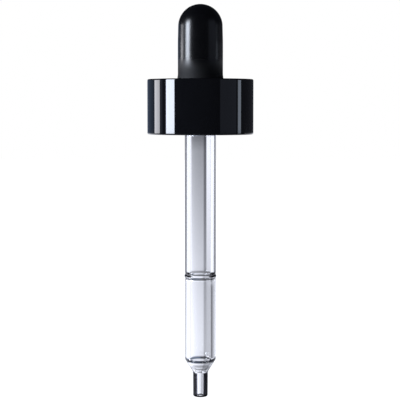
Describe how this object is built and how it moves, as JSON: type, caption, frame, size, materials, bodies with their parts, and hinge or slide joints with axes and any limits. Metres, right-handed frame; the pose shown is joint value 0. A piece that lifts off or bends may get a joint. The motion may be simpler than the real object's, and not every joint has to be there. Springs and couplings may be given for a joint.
{
  "type": "dropper closure with glass pipette",
  "caption": "Screw-on dropper closure: a rubber squeeze bulb in a smooth threaded collar, over a clear glass pipette with a rolled ring, a sloped shoulder and a narrow straight tip.",
  "frame": {"origin": "on the common axis at the sealing plane, the washer's underside that lands on a bottle's rim", "axes": "+Z along the axis towards the bulb; the pipette points to -Z; +X is the direction that the bulb is squeezed in"},
  "size_m": [0.0244, 0.0244, 0.0912],
  "materials": {
    "gloss_shell": "polished black ABS",
    "cap_liner": "as-moulded black polypropylene",
    "washer": "soft white polyethylene foam",
    "bulb_rubber": "satin black moulded rubber",
    "clear_glass": "clear fire-polished tubing"
  },
  "bodies": {
    "collar": {"outer_shell": "gloss_shell", "inner_cap": "cap_liner"},
    "seal_seat": {"sealing_washer": "washer"},
    "squeeze_bulb": {"bulb": "bulb_rubber"},
    "pipette": {"glass_pipette": "clear_glass"}
  },
  "joints": [
    {"name": "collar_swivel", "type": "hinge", "parent": "collar", "child": "seal_seat", "pos_m": [0, 0, 0], "axis": [0, 0, 1], "continuous": true},
    {"name": "bulb_squeeze", "type": "slide", "parent": "seal_seat", "child": "squeeze_bulb", "axis": [1, 0, 0], "range_m": [0, 0.004], "stiffness_N_per_m": 900, "deforming": ["bulb"]},
    {"name": "pipette_pull", "type": "slide", "parent": "seal_seat", "child": "pipette", "axis": [0, 0, -1], "range_m": [0, 0.00585]}
  ]
}
